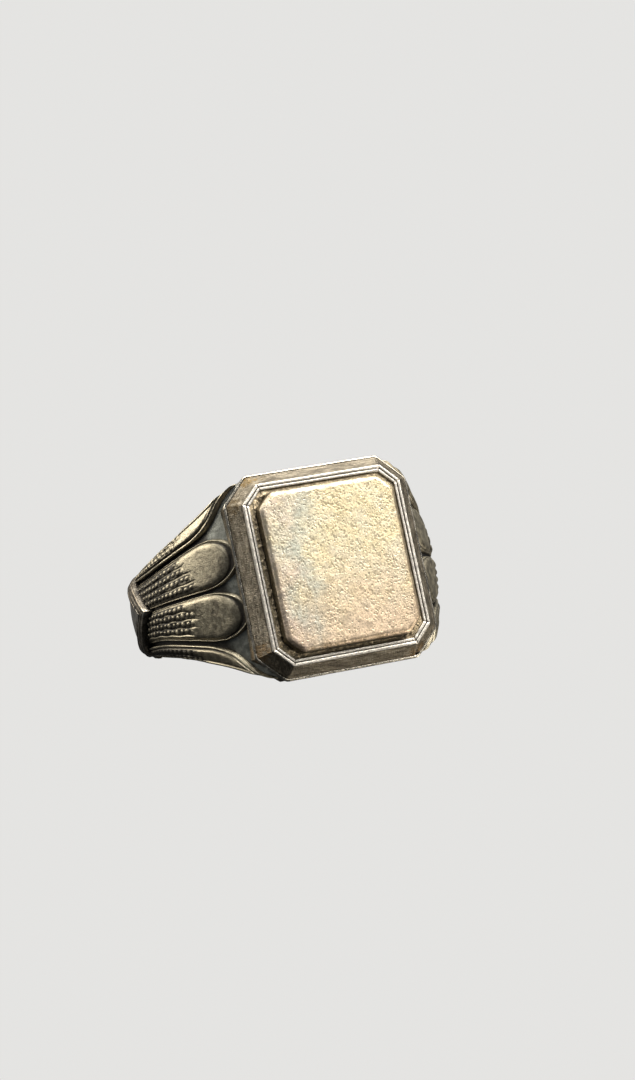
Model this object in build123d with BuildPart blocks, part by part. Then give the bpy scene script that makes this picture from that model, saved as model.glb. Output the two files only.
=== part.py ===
from build123d import *
from math import cos, radians, sin, sqrt
import os

# A man's signet ring, built up from silver sheet, strip and wire around a full lining band.
# Lengths are in millimetres. The origin is the centre of the finger hole, +Z runs along the
# finger, and the signet plate faces -Y. The left shoulder, at -X, is built first, and the right
# shoulder is its mirror image.

# ---- Driving dimensions ----

# Finger hole and the band around it.
inner_radius = 10.2
lining_thickness = 0.3
shank_thickness = 1.45
shank_fullness = 0.45  # how much thicker the shank is at its sides than at the back

# Signet head: three cut-cornered outlines, as (width along X, height along Z, corner cut).
foot_outline = (14.3, 15.1, 1.9)
rim_outline = (12.6, 13.65, 1.35)
plate_outline = (10.8, 12.05, 1.1)

# Distances of the head's levels from the finger's axis.
foot_depth = 10.55
rim_top_depth = 11.76
plate_rise = 0.9

# Bezel rim, read across its reeds from the outside in, and the channel behind it.
bead_width = 0.22
groove_width = 0.09
land_width = 0.21
land_drop = 0.14
groove_drop = 0.22
rim_height = 0.32
channel_drop = 0.23
tray_thickness = 0.5

# Foot wire, and the plate's worn edges.
wire_size = 0.25
plate_bevel = 0.32
plate_corner_round = 0.35

# Shoulders: crowned surfaces that run round an upright axis standing off the finger's axis, so
# that the outside flares from the shank up to the head. Angles are in degrees from -X.
flare_centre = (3.78, 0.98)
petal_radius = 15.64
petal_relief = 0.45
shank_crown_radius = 9
shoulder_crown_radius = 15.6
head_crown_radius = 60
shank_crown_ends_at = -4
shoulder_crown_at = 20
head_crown_starts_at = 48
section_angles = (54, 48, 40, 30, 20, 12, 4, -4, -18)

# The ring's sides, seen from the side: (distance along Y, half-width along the finger).
head_half_width = foot_outline[1] / 2
shank_half_width = 2.45
side_at_strap = (1.5, 3.3)
side_at_shoulder = (-4.9, 4.68)
side_at_neck = (-8.7, 6.35)
side_at_head = (-10.4, head_half_width)

# Pointed strap that ties each fan of petals, and covers the seam between shoulder and shank.
strap_point_y = -1.6
strap_width = 2.0
strap_rise = 0.33
strap_overhang = 0.14

# Fan of petals, seen from the side: (distance along Y, height above the equator).
front_petal_gap = 0.18
side_petal_gap = 0.27
petal_root_height = 2.15
petal_waist = (-4.2, 2.92)
petal_belly = (-8.0, 3.77)
petal_tip = (-10.07, 2.2)
petal_heel = (-7.4, 0.13)
side_petal_waist = (-7.2, 4.04)
side_petal_bend = (-8.6, 5.25)
side_petal_tip = (-10.07, 7.2)
root_slope = (1, -0.04)  # direction of a petal's outer edge where it leaves the strap
side_tip_slope = (0.4, -1)  # and of the long tip's inner edge, leaving the head's corner

# ---- Values worked out from them ----

lining_radius = inner_radius + lining_thickness
shank_radius = inner_radius + shank_thickness + shank_fullness
shank_centre = (0, -shank_fullness)
ground_radius = petal_radius - petal_relief
strap_radius = petal_radius + strap_rise
seam_point_y = strap_point_y + strap_width / 2
root_y = petal_root_height - strap_point_y  # far enough under the strap for it to trim the petals

rim_width = bead_width + groove_width + land_width
rim_seat_depth = rim_top_depth - rim_height
groove_depth = rim_top_depth - groove_drop
land_depth = rim_top_depth - land_drop
floor_depth = rim_top_depth - channel_drop
plate_top_depth = rim_top_depth + plate_rise
corner_inset = 2 - sqrt(2)  # how fast a corner cut shortens as its outline is inset
corner_x = foot_outline[0] / 2 - foot_outline[2]

reach = 30  # longer than the ring, for cutting bodies
shank_plane = Plane(origin=(*shank_centre, 0), x_dir=(1, 0, 0), z_dir=(0, -1, 0))
shank_axis = Axis((*shank_centre, 0), (0, 0, 1))


def octagon(outline, inset, depth):
    """An upright cut-cornered rectangle, inset all round, at a depth in front of the axis."""
    width, height, cut = outline
    with BuildSketch(Plane.XZ.offset(depth)) as sketch:
        Rectangle(width - 2 * inset, height - 2 * inset)
        chamfer(sketch.vertices(), cut - corner_inset * inset)
    return sketch.sketch


def crowned_profile(plane, radius, crown, half):
    """A band's cross-section on one side of its axis, its outside crowned along the finger."""
    edge_radius = radius - crown + sqrt(crown**2 - half**2)
    inside = radius / 2
    with BuildSketch(plane) as profile:
        with BuildLine():
            Polyline((edge_radius, half), (inside, half), (inside, -half), (edge_radius, -half))
            ThreePointArc((edge_radius, -half), (radius, 0), (edge_radius, half))
        make_face()
    return profile.sketch


def ease(value, start, end):
    """0 up to start, 1 from end on, and a smooth rise between them."""
    along = min(1, max(0, (value - start) / (end - start)))
    return along * along * (3 - 2 * along)


def crown_at(angle):
    """The shoulder's crown radius: round at the shank, softer along the shoulder, flat at the head."""
    to_shoulder = ease(angle, shank_crown_ends_at, shoulder_crown_at)
    to_head = ease(angle, shoulder_crown_at, head_crown_starts_at)
    curvature = 1 / shank_crown_radius
    curvature += to_shoulder * (1 / shoulder_crown_radius - 1 / shank_crown_radius)
    curvature += to_head * (1 / head_crown_radius - 1 / shoulder_crown_radius)
    return 1 / curvature


def shoulder_body(radius):
    """The left shoulder's sweep round the flare axis, before its sides and ends are cut."""
    sections = []
    for angle in section_angles:
        outward = (-cos(radians(angle)), -sin(radians(angle)), 0)
        across = (outward[1], -outward[0], 0)
        plane = Plane(origin=(*flare_centre, 0), x_dir=outward, z_dir=across)
        profile = crowned_profile(plane, radius, crown_at(angle), head_half_width + 1)
        sections.append(profile.face())
    return loft(sections)


def side_outline(start_x=0, grow=0):
    """The ring seen from the side: narrow at the shank and widening up to the head."""
    bends = [(y, half_width + grow) for y, half_width in (
        (inner_radius, shank_half_width), side_at_strap, side_at_shoulder, side_at_neck, side_at_head)]
    shank_end = (reach, bends[0][1])
    front = (-reach, bends[-1][1])
    with BuildSketch(Plane.YZ.offset(start_x)) as sketch:
        with BuildLine():
            Line(shank_end, bends[0])
            Spline(*bends)
            Polyline(bends[-1], front, (-reach, 0), (reach, 0), shank_end)
        make_face()
        mirror(about=Plane.XZ)
    return sketch.sketch


def behind_point(point_y):
    """Everything behind a right-angled point on the equator, seen from the side."""
    half = head_half_width + 2
    with BuildSketch(Plane.YZ) as sketch:
        with BuildLine():
            Polyline(
                (point_y, 0),
                (point_y + half, half),
                (reach, half),
                (reach, -half),
                (point_y + half, -half),
                close=True,
            )
        make_face()
    return sketch.sketch


def front_petal_outline():
    """The petal above the equator, seen from the side, its blunt tip towards the head."""
    root = (root_y, petal_root_height)
    with BuildSketch(Plane.YZ) as sketch:
        with BuildLine():
            Line((root_y, front_petal_gap / 2), petal_heel)
            Spline(petal_heel, petal_tip, petal_belly, tangents=((-1, 0.05), (1, -0.05)))
            Spline(petal_belly, petal_waist, root, tangents=((1, -0.05), root_slope))
            Line(root, (root_y, front_petal_gap / 2))
        make_face()
    return sketch.sketch


def side_petal_outline():
    """The petal that rolls over the upper side, its long tip running out to the head's corner."""
    root = (root_y, petal_root_height + side_petal_gap)
    near_root = (petal_waist[0], petal_waist[1] + side_petal_gap)
    above = head_half_width + 1
    with BuildSketch(Plane.YZ) as sketch:
        with BuildLine():
            Spline(
                side_petal_tip,
                side_petal_bend,
                side_petal_waist,
                near_root,
                root,
                tangents=(side_tip_slope, root_slope),
            )
            Polyline(root, (root_y, above), (side_petal_tip[0], above), side_petal_tip)
        make_face()
    return sketch.sketch


# ---- Cutting bodies shared by several pieces ----

lining_core = Cylinder(lining_radius, reach)
ground_body = shoulder_body(ground_radius)
petal_body = shoulder_body(petal_radius)
strap_body = shoulder_body(strap_radius)
head_prism = extrude(octagon(foot_outline, 0, 0), amount=reach)
wire_prism = extrude(octagon(foot_outline, -wire_size, foot_depth - wire_size), amount=reach)
head_space = head_prism + wire_prism

# ---- Finger band ----

# Lining: a full ring of thin strip, narrow at the back and as wide as the head in front.
with BuildPart() as lining_band:
    Cylinder(lining_radius, reach)
    Cylinder(inner_radius, reach, mode=Mode.SUBTRACT)
    extrude(side_outline(), amount=reach, both=True, mode=Mode.INTERSECT)
lining_band.part.label = "lining_band"

# Shank: the back of the band, soft D section, with a point at each end that fits the shoulder.
with BuildPart() as shank:
    shank_half = side_at_shoulder[1]
    revolve(crowned_profile(shank_plane, shank_radius, shank_crown_radius, shank_half), axis=shank_axis)
    add(lining_core, mode=Mode.SUBTRACT)
    extrude(side_outline(), amount=reach, both=True, mode=Mode.INTERSECT)
    extrude(behind_point(seam_point_y), amount=reach, both=True, mode=Mode.INTERSECT)
shank.part.label = "shank"

# Shoulder: the plain tapered ground that carries the petals, notched for the shank's point.
with BuildPart() as left_shoulder:
    add(ground_body)
    add(lining_core, mode=Mode.SUBTRACT)
    extrude(side_outline(-corner_x), amount=-reach, mode=Mode.INTERSECT)
    extrude(behind_point(seam_point_y), amount=-reach, mode=Mode.SUBTRACT)
    add(head_space, mode=Mode.SUBTRACT)
left_shoulder.part.label = "left_shoulder"

# Front petals: above the equator, and its mirror image below.
with BuildPart() as left_upper_front_petal:
    add(petal_body)
    add(ground_body, mode=Mode.SUBTRACT)
    extrude(front_petal_outline(), amount=-reach, mode=Mode.INTERSECT)
    extrude(behind_point(strap_point_y), amount=-reach, mode=Mode.SUBTRACT)
    add(head_space, mode=Mode.SUBTRACT)
left_upper_front_petal.part.label = "left_upper_front_petal"

# Side petals: rolled over the upper and lower sides.
with BuildPart() as left_upper_side_petal:
    add(petal_body)
    add(ground_body, mode=Mode.SUBTRACT)
    extrude(side_petal_outline(), amount=-reach, mode=Mode.INTERSECT)
    extrude(side_outline(), amount=-reach, mode=Mode.INTERSECT)
    extrude(behind_point(strap_point_y), amount=-reach, mode=Mode.SUBTRACT)
    add(head_space, mode=Mode.SUBTRACT)
left_upper_side_petal.part.label = "left_upper_side_petal"

# Strap: a pointed band wrapped round the narrow end of the shoulder and the start of the shank.
with BuildPart() as left_strap:
    add(strap_body)
    extrude(side_outline(grow=strap_overhang), amount=-reach, mode=Mode.INTERSECT)
    extrude(behind_point(strap_point_y), amount=-reach, mode=Mode.INTERSECT)
    extrude(behind_point(strap_point_y + strap_width), amount=-reach, mode=Mode.SUBTRACT)
    add(lining_core, mode=Mode.SUBTRACT)
    add(left_shoulder.part, mode=Mode.SUBTRACT)
    add(shank.part, mode=Mode.SUBTRACT)
left_strap.part.label = "left_strap"

# ---- Signet head ----

# Head box: a mitred wall of strip, flared facets outside, saddled onto the lining below.
with BuildPart() as head_box:
    facet_ends = [octagon(foot_outline, 0, foot_depth), octagon(rim_outline, 0, rim_seat_depth)]
    loft([end.face() for end in facet_ends])
    extrude(octagon(foot_outline, 0, 0), amount=foot_depth)
    extrude(octagon(rim_outline, rim_width, 0), amount=reach, mode=Mode.SUBTRACT)
    add(lining_core, mode=Mode.SUBTRACT)
head_box.part.label = "head_box"

# Foot wire: a raised line soldered round the foot of the flared wall.
with BuildPart() as foot_wire:
    extrude(octagon(foot_outline, -wire_size, foot_depth - wire_size), amount=wire_size)
    extrude(octagon(foot_outline, 0, 0), amount=reach, mode=Mode.SUBTRACT)
foot_wire.part.label = "foot_wire"

# Bezel rim: a reeded frame, with a tall outer bead, a groove and a lower inner land.
with BuildPart() as bezel_rim:
    extrude(octagon(rim_outline, 0, rim_seat_depth), amount=rim_height)
    extrude(octagon(rim_outline, bead_width, groove_depth), amount=reach, mode=Mode.SUBTRACT)
    extrude(
        octagon(rim_outline, bead_width + groove_width, rim_seat_depth),
        amount=land_depth - rim_seat_depth,
    )
    extrude(octagon(rim_outline, rim_width, 0), amount=reach, mode=Mode.SUBTRACT)
bezel_rim.part.label = "bezel_rim"

# Tray: the sheet that closes the head box and forms the floor of the channel.
with BuildPart() as tray:
    extrude(octagon(rim_outline, rim_width, floor_depth - tray_thickness), amount=tray_thickness)
tray.part.label = "tray"

# Signet plate: a thick gilt slab on the tray, standing proud of the rim, its edges bevelled.
with BuildPart() as signet_plate:
    extrude(octagon(plate_outline, 0, floor_depth), amount=plate_top_depth - floor_depth)
    fillet(signet_plate.edges().filter_by(Axis.Y), plate_corner_round)
    chamfer(signet_plate.faces().sort_by(Axis.Y)[0].edges(), plate_bevel)
signet_plate.part.label = "signet_plate"

# ---- Mirrored pieces and export ----

lower_pieces = {
    "left_lower_front_petal": left_upper_front_petal,
    "left_lower_side_petal": left_upper_side_petal,
}
left_pieces = [left_shoulder.part, left_strap.part]
for label, upper in lower_pieces.items():
    with BuildPart() as lower:
        mirror(upper.part, about=Plane.XY)
    lower.part.label = label
    left_pieces += [upper.part, lower.part]

right_pieces = []
for left in left_pieces:
    with BuildPart() as right:
        mirror(left, about=Plane.YZ)
    right.part.label = left.label.replace("left", "right")
    right_pieces.append(right.part)

middle_pieces = [
    lining_band.part,
    shank.part,
    head_box.part,
    foot_wire.part,
    bezel_rim.part,
    tray.part,
    signet_plate.part,
]

os.makedirs("parts", exist_ok=True)
for piece in middle_pieces + left_pieces + right_pieces:
    export_step(piece, f"parts/{piece.label}.step")
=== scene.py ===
"""A silver signet ring with a gilt plate: its finished surfaces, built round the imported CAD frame.

Shapes are worked out in millimetres and written to Blender in metres. The left shoulder, at -X, is
described, and the right one is its mirror image.
"""

from collections import namedtuple
from math import cos, pi, radians, sin, sqrt, tan

import bpy
import numpy as np
from mathutils import Matrix, Vector


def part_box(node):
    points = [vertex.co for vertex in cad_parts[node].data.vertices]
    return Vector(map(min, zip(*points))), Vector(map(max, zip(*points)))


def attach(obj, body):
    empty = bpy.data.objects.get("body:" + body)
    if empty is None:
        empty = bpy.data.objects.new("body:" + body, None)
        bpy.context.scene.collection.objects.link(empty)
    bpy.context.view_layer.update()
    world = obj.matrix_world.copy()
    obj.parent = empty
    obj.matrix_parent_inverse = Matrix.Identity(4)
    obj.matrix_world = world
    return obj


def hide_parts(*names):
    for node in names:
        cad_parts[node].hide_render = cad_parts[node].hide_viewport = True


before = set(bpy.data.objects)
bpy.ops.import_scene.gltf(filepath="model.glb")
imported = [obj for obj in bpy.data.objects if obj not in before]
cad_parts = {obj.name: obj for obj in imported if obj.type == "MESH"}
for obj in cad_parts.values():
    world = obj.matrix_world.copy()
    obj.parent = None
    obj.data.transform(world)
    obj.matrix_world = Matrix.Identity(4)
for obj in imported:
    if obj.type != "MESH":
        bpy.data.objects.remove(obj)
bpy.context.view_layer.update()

MM = 0.001


def box_mm(node):
    """Lowest and highest corners of a CAD node, in millimetres."""
    return [np.array(corner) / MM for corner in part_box(node)]


# ---- Sizes, in millimetres, from the frame ----

rim_low, rim_high = box_mm("bezel_rim")
plate_low, plate_high = box_mm("signet_plate")
wire_low, wire_high = box_mm("foot_wire")
head_high, tray_high, lining_high, shank_high = (
    box_mm(node)[1] for node in ("head_box", "tray", "lining_band", "shank")
)

foot_depth = -wire_low[1]
seat_depth = -rim_high[1]
rim_depth = -rim_low[1]
floor_depth = -plate_high[1]
plate_depth = -plate_low[1]
lining_radius = lining_high[0]
shank_radius = shank_high[0]
shank_centre_y = shank_high[1] - shank_radius
wire_size = wire_high[0] - head_high[0]
rim_width = rim_high[0] - tray_high[0]
strap_overhang = 0.14
lining_thickness = 0.3
hidden_radius = lining_radius - lining_thickness / 3  # where pieces end inside the lining

# Cut-cornered outlines: half-width along X, half-height along Z, corner cut.
foot_outline = (head_high[0], head_high[2], 1.9)
rim_outline = (rim_high[0], rim_high[2], 1.35)
plate_outline = (plate_high[0], plate_high[2], 1.1)
corner_inset = 2 - sqrt(2)  # how fast a corner cut shortens as its outline is inset

# Shoulders: surfaces round an upright axis, rounder at the shank and flatter towards the head.
flare_x, flare_y = 3.78, 0.98
ground_radius = 15.19
shank_crown, shoulder_crown, head_crown = 1 / 9, 1 / 15.6, 1 / 60
shank_crown_ends, shoulder_crown_at, head_crown_starts = radians(-4), radians(20), radians(48)
edge_roll_reach, edge_roll_depth = 0.9, 0.75  # the shoulder's rounded edge, deepest at the strap
edge_roll_starts_y, edge_roll_full_y = -7, -1
outside_lining = 0.04  # how far shoulders stay outside the lining
strap_front_y = -1.6
strap_width = 2.0
head_end_y = -10.35
skew_ends_y = -5.0  # from the strap to here, rows of points lean with the strap's arms

# Petals.
petal_step = 0.04  # size of their mesh
petal_root_y = strap_front_y + 0.5
tip_y = -10.07
tip_length = 2.0
equator_gap = 0.09  # from the shoulder's middle to the front petals' lower edges
leaf_height, leaf_edge = 0.15, 0.06
bead_pitch, bead_radius, bead_height = 0.5, 0.18, 0.09
row_depth, groove_depth, groove_width = 0.07, 0.05, 0.06

# ---- Curves and noise ----

def through(*points):
    """A smooth curve z(y) through points given from the head backwards, straight on beyond them."""
    ys, zs = np.array(sorted(points)).T
    slopes = np.gradient(zs, ys)

    def height(y):
        y = np.asarray(y, float)
        inside = np.clip(y, ys[0], ys[-1])
        at = np.clip(np.searchsorted(ys, inside, side="right") - 1, 0, len(ys) - 2)
        gap = ys[at + 1] - ys[at]
        t = (inside - ys[at]) / gap
        rise = (
            zs[at] * (1 + 2 * t) * (1 - t) ** 2
            + slopes[at] * gap * t * (1 - t) ** 2
            + zs[at + 1] * (3 - 2 * t) * t**2
            + slopes[at + 1] * gap * (t - 1) * t**2
        )
        return rise + np.where(y > ys[-1], (y - ys[-1]) * slopes[-1], 0)

    return height


def smooth_step(value, low, high):
    """0 below low, 1 above high, easing between them."""
    t = np.clip((value - low) / (high - low), 0, 1)
    return t * t * (3 - 2 * t)


def fall(distance, reach, limit=0.98):
    """How far an edge rounded over a reach has dropped, 0 to almost 1, at a distance from its end."""
    near = np.clip(1 - distance / reach, 0, limit)
    return 1 - np.sqrt(1 - near**2)


def soften(points, rounds=2):
    """An open profile with its inner corners cut back, round after round."""
    points = np.array(points, float)
    for _ in range(rounds):
        near = points[:-1] * 0.75 + points[1:] * 0.25
        far = points[:-1] * 0.25 + points[1:] * 0.75
        middle = np.stack([near, far], axis=1).reshape(-1, points.shape[1])
        points = np.vstack([points[:1], middle[1:-1], points[-1:]])
    return points


def lattice(cells, seed):
    """A repeatable number from 0 to 1 for each cell of a lattice."""
    keep_31_bits, keep_16_bits = 0x7FFFFFFF, 0xFFFF
    primes = (73856093, 19349663, 83492791)  # any large ones scatter neighbouring cells
    mixed = (cells[..., 0] * primes[0]) ^ (cells[..., 1] * primes[1]) ^ (cells[..., 2] * primes[2])
    mixed = (mixed ^ (seed * 26544357)) & keep_31_bits
    mixed = ((mixed ^ (mixed >> 13)) * 1274126177) & keep_31_bits
    return ((mixed ^ (mixed >> 16)) & keep_16_bits) / keep_16_bits


def lumps(points, size, seed):
    """Smooth noise from -1 to 1 over points in millimetres, its lumps about size across."""
    scaled = np.asarray(points) / size
    cell = np.floor(scaled).astype(np.int64)
    f = scaled - cell
    f = f * f * (3 - 2 * f)
    total = 0
    for corner in np.ndindex(2, 2, 2):
        weight = np.prod(np.where(corner, f, 1 - f), axis=-1)
        total = total + weight * lattice(cell + np.array(corner), seed)
    return total * 2 - 1


# ---- Meshes ----

def skin(node, loops, material, relief_and_painted_light, closed=False):
    """The finished piece for a CAD node, skinned over equal loops of points, its ends capped or joined.

    relief says how high each point stands, 0 in a recess and 1 where it is rubbed bright; some pieces also
    put painted light and painted shade in it."""
    name = f"{node}_finished"
    loops = np.asarray(loops, float)
    rows, columns = loops.shape[:2]
    index = np.arange(rows * columns).reshape(rows, columns)
    beside = np.roll(index, -1, axis=1)
    if closed:
        ahead, ahead_beside = np.roll(index, -1, axis=0), np.roll(beside, -1, axis=0)
    else:
        ahead, ahead_beside = index[1:], beside[1:]
        index, beside = index[:-1], beside[:-1]
    quads = np.stack([index, beside, ahead_beside, ahead], axis=-1).reshape(-1, 4)
    points = loops.reshape(-1, 3)
    level = np.clip(relief_and_painted_light, 0, 1).ravel()
    triangles = []
    if not closed:
        for row, turn in ((0, -1), (rows - 1, 1)):
            ring = np.arange(columns) + row * columns
            centre = len(points)
            points = np.vstack([points, loops[row].mean(axis=0)])
            level = np.append(level, level[ring].mean())
            ring_next = np.roll(ring, -turn)
            triangles += [(a, b, centre) for a, b in zip(ring.tolist(), ring_next.tolist())]
    a, b, c, d = (points[quads[:, i]] for i in range(4))
    volume = (a * np.cross(b, c)).sum() + (a * np.cross(c, d)).sum()
    faces = quads.tolist() + triangles
    if volume < 0:
        faces = [face[::-1] for face in faces]
    mesh = bpy.data.meshes.new(name)
    mesh.from_pydata((points * MM).tolist(), [], faces)
    mesh.attributes.new("relief_and_painted_light", "FLOAT", "POINT").data.foreach_set("value", level)
    mesh.shade_smooth()
    mesh.materials.append(material)
    piece = bpy.data.objects.new(name, mesh)
    bpy.context.scene.collection.objects.link(piece)
    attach(piece, "root")
    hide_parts(node)


def octagon(outline, inset=0, rounding=0.05, side_points=90, cut_points=22, bend_points=5):
    """Points (x, z) round an inset cut-cornered rectangle with slightly rounded corners."""
    half_x, half_z, cut = outline
    x, z = half_x - inset, half_z - inset
    cut = cut - corner_inset * inset
    corners = [(x, z - cut), (x - cut, z)]
    corners += [(-a, b) for a, b in reversed(corners)]
    corners += [(a, -b) for a, b in reversed(corners)]
    corners = np.array(corners)
    points = []
    for i in range(8):
        here, after, before = corners[i], corners[(i + 1) % 8], corners[i - 1]
        to_next = (after - here) / np.linalg.norm(after - here)
        from_last = (here - before) / np.linalg.norm(here - before)
        start = here - from_last * rounding
        end = here + to_next * rounding
        for t in np.linspace(0, 1, bend_points, endpoint=False):
            points.append(start * (1 - t) ** 2 + here * 2 * t * (1 - t) + end * t**2)
        stop = after - to_next * rounding
        count = cut_points if i % 2 == 0 else side_points
        for t in np.linspace(0, 1, count, endpoint=False):
            points.append(end + (stop - end) * t)
    return np.array(points)


def at_depth(outline_points, depth):
    """Outline points stood upright at a depth in front of the finger's axis."""
    x, z = outline_points.T
    return np.stack([x, np.broadcast_to(-np.asarray(depth, float), x.shape), z], axis=-1)


def distance_to_corners(points, outline):
    """How far each point is from the nearest of the outline's eight mitre lines, seen from the front."""
    half_x, half_z, cut = outline
    x, z = np.abs(points[..., 0]), np.abs(points[..., 2])
    lean = radians(22.5)  # a mitre halves the 45 degrees between a side and a cut corner
    side_mitre = np.abs((z - (half_z - cut)) - (x - half_x) * tan(lean)) * cos(lean)
    top_mitre = np.abs((x - (half_x - cut)) - (z - half_z) * tan(lean)) * cos(lean)
    return np.minimum(side_mitre, top_mitre)


# ---- The shoulders' surface ----

half_width_at = through((-10.4, 7.55), (-8.7, 6.35), (-4.9, 4.68), (1.5, 3.3), (10.2, 2.45))


def across_circle(radius, y):
    """Half the width at y of a circle round the finger, never less than half a millimetre."""
    return np.sqrt(np.maximum(radius**2 - np.asarray(y) ** 2, 0.5**2))


def on_shoulder(y, z, lift):
    """Points on the left shoulder, from their side view and their height above the ground."""
    y, z, lift = np.broadcast_arrays(y, z, lift)
    radius = ground_radius + lift
    reach = radius
    for _ in range(6):
        turn = np.arcsin(np.clip((flare_y - y) / reach, -0.999, 0.999))
        to_shoulder = smooth_step(turn, shank_crown_ends, shoulder_crown_at)
        to_head = smooth_step(turn, shoulder_crown_at, head_crown_starts)
        curvature = shank_crown + to_shoulder * (shoulder_crown - shank_crown)
        crown = 1 / (curvature + to_head * (head_crown - shoulder_crown))
        reach = radius - (crown - np.sqrt(crown**2 - z**2))
    at_strap = smooth_step(y, edge_roll_starts_y, edge_roll_full_y)
    rolled = edge_roll_depth * at_strap * fall(half_width_at(y) - np.abs(z), edge_roll_reach)
    x = flare_x - (reach - rolled) * np.cos(turn)
    just_outside = -across_circle(lining_radius + outside_lining, y)
    return np.stack([np.minimum(x, just_outside), y, z], axis=-1)


def on_lining(y, z):
    """Points just inside the lining's outer face, on the left."""
    return np.stack(np.broadcast_arrays(-across_circle(hidden_radius, y), y, z), axis=-1)


# ---- Petals ----

petal_shoulder = through((-8.0, 3.77), (-7.3, 3.67), (-5.9, 3.32), (-4.2, 2.92), (-2.4, 2.55), (1.5, 2.2))
side_inner_edge = through(
    (tip_y, 7.2), (-9.7, 6.8), (-9.3, 6.3), (-9.0, 5.8), (-8.6, 5.15), (-8.0, 4.52),
    (-7.2, 4.04), (-5.7, 3.55), (-4.2, 3.17), (-2.4, 2.8), (1.5, 2.45)
)


def blunt(y, edge, start_y, end_y, end_z, power=2.1):
    """An edge z(y) that closes in to a blunt tip at (end_y, end_z), starting to turn at start_y."""
    q = np.clip((start_y - y) / (start_y - end_y), 0, 1)
    turned = end_z + (edge(start_y) - end_z) * (1 - q**power) ** (1 / power)
    return np.where(y < start_y, turned, edge(y))


def equator_edge(y):
    return np.full(np.shape(y), equator_gap)


def front_lower(y):
    return blunt(y, equator_edge, -7.5, tip_y, 2.1)


def front_upper(y):
    return blunt(y, petal_shoulder, -8.0, tip_y, 2.1, 2.0)


def front_cushion_lower(y):
    return blunt(y, lambda at: equator_edge(at) + 0.12, -7.3, -9.6, 2.05, 2.3)


def front_cushion_upper(y):
    return blunt(y, lambda at: petal_shoulder(at) - 0.14, -7.8, -9.6, 2.05, 2.2)


def side_cushion_lower(y):
    return side_inner_edge(y) + 0.28


def side_cushion_upper(y):
    return half_width_at(y) + 0.5


# What sets each kind of petal apart: the leaf's and the cushion's outlines, the border's place, reach and
# height, the width and height of the cushion's slope, and where the petal's walls end below the ground.
PetalShape = namedtuple(
    "PetalShape", "lower upper cushion_lower cushion_upper cushion_tip border slope rise foot"
)
petal_shapes = {
    "front": PetalShape(front_lower, front_upper, front_cushion_lower, front_cushion_upper, -9.6,
                        border=(0.07, 0.055, 0.08), slope=0.5, rise=0.27, foot=-0.12),
    "side": PetalShape(side_inner_edge, half_width_at, side_cushion_lower, side_cushion_upper, -9.7,
                       border=(0.13, 0.1, 0.1), slope=0.26, rise=0.24, foot=-0.3),
}

# Each row of beads: its place across the cushion, from 0 to 1, and the y where it ends.
bead_rows = {
    ("front", 1): [(0.15, -7.1), (0.39, -6.8), (0.62, -6.2), (0.85, -5.6)],
    ("front", -1): [(0.14, -5.8), (0.35, -6.6), (0.56, -6.3), (0.76, -5.9)],
    ("side", 1): [(0.2, -5.4), (0.5, -5.9), (0.8, -5.2)],
}
bead_rows["side", -1] = bead_rows["side", 1]


def crowded(count, share=0.35):
    """Numbers from 0 to 1, closer together near both ends."""
    bunched = (1 - np.cos(np.linspace(0, pi, count))) / 2
    return bunched * share + np.linspace(0, 1, count) * (1 - share)


def petal_grid(lower, upper):
    """Side-view points (y, z) over a petal: columns from the strap to the tip, rows across."""
    tip_starts = tip_y + tip_length
    body = np.arange(petal_root_y, tip_starts, -petal_step)
    turns = np.linspace(0, pi / 2, int(pi / 2 * tip_length / petal_step))
    short_of_tip = 0.1 * petal_step
    s = np.concatenate([body[:-1], tip_starts - (tip_length - short_of_tip) * np.sin(turns)])
    skew = smooth_step(s, skew_ends_y, petal_root_y)
    low = lower(s)
    high = upper(s)
    for _ in range(8):
        low = lower(s + skew * low)
        high = upper(s + skew * high)
    across = crowded(int((high - low).max() / petal_step))
    z = low[:, None] + (high - low)[:, None] * across[None, :]
    y = s[:, None] + skew[:, None] * z
    return y, z


def edge_distance(y, z, lower, upper, tip_at):
    """Distance of side-view points inside an outline, left open at the strap; 0 outside it."""
    beyond_strap, curl_length = 4.5, 2.2
    run = np.linspace(petal_root_y + beyond_strap, tip_at + curl_length, 90)
    curl = tip_at + curl_length * (1 - np.sin(np.linspace(0, pi / 2, 110)))
    ys = np.concatenate([run, curl])
    line = np.concatenate([np.stack([ys, lower(ys)], 1), np.stack([ys, upper(ys)], 1)[::-1]])
    points = np.stack([y.ravel(), z.ravel()], 1)
    nearest = np.full(len(points), np.inf)
    for start, end in zip(line[:-1], line[1:]):
        along = end - start
        t = np.clip((points - start) @ along / max(along @ along, 1e-12), 0, 1)
        gap = points - start - t[:, None] * along
        nearest = np.minimum(nearest, np.hypot(gap[:, 0], gap[:, 1]))
    inside = (z > lower(y)) & (z < upper(y)) & (y > tip_at)
    return np.where(inside, nearest.reshape(y.shape), 0)


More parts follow.
